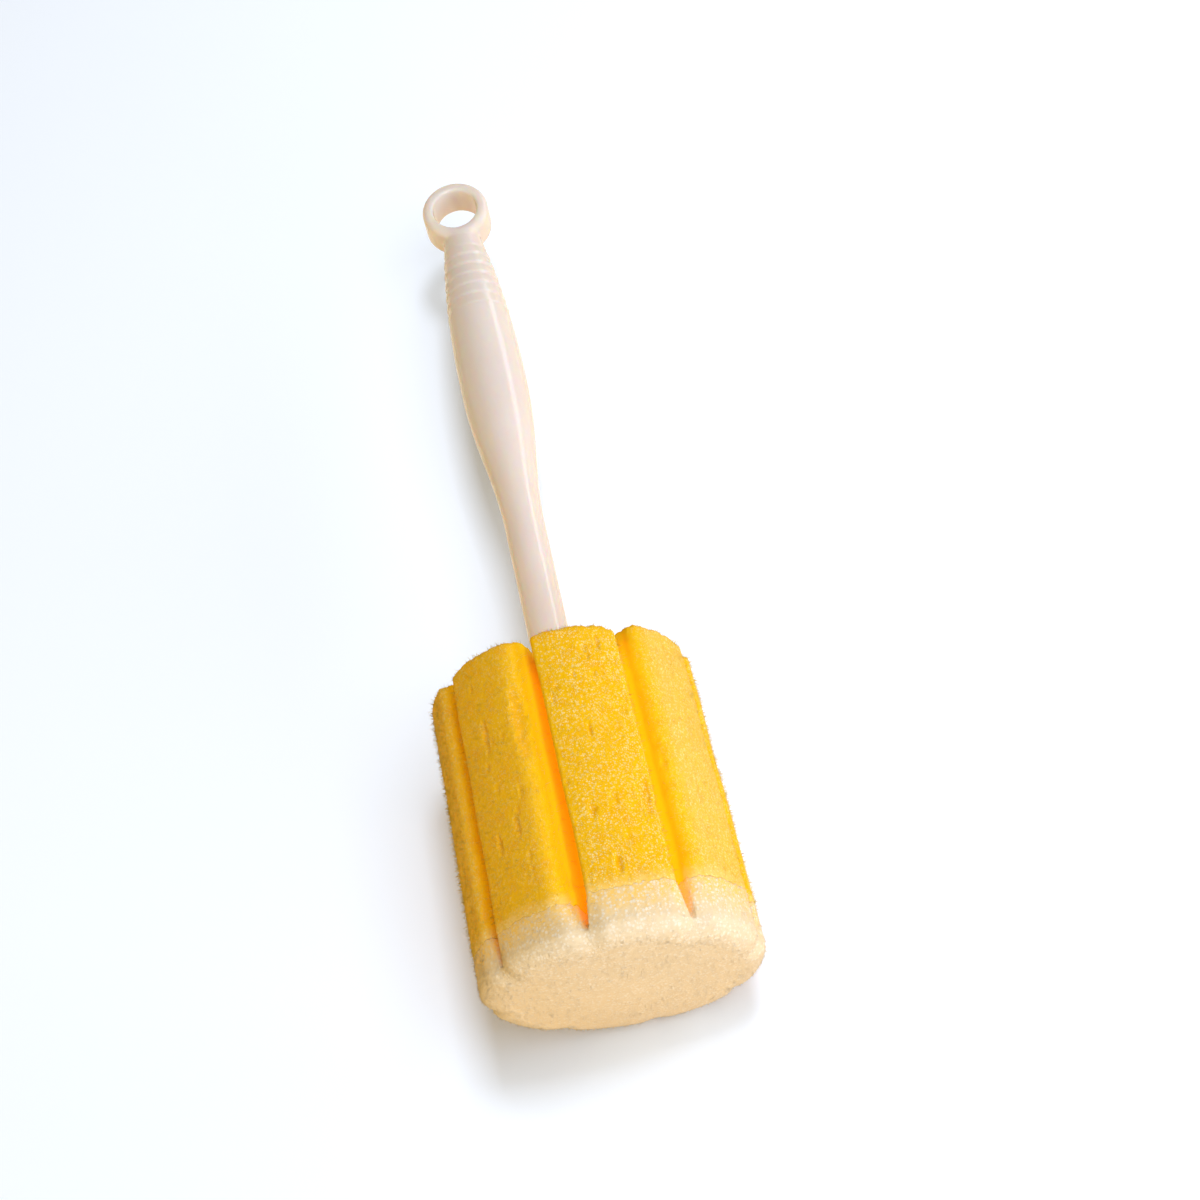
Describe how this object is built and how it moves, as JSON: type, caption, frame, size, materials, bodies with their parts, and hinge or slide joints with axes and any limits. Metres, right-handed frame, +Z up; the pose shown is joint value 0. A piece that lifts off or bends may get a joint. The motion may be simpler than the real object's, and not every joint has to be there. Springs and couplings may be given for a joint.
{
  "type": "glass cleaning brush",
  "caption": "Glass cleaning brush with a slotted foam sponge head, a pale scouring tip and a slim moulded plastic handle that ends in a hanging ring",
  "frame": {"origin": "centre of the footprint, on the table that the brush lies on", "axes": "+Y runs along the brush from the scouring tip towards the hanging ring, +Z is up and +X is to the right seen from the tip"},
  "size_m": [0.0722, 0.2524, 0.0722],
  "materials": {
    "ivory_plastic": "gloss",
    "yellow_foam": "matte",
    "pale_foam": "matte",
    "cured_glue": "satin"
  },
  "bodies": {
    "root": {"handle": "ivory_plastic", "sponge_body": "yellow_foam", "scouring_tip": "pale_foam", "stem_glue": "cured_glue", "lamination_film": "cured_glue"}
  },
  "joints": []
}
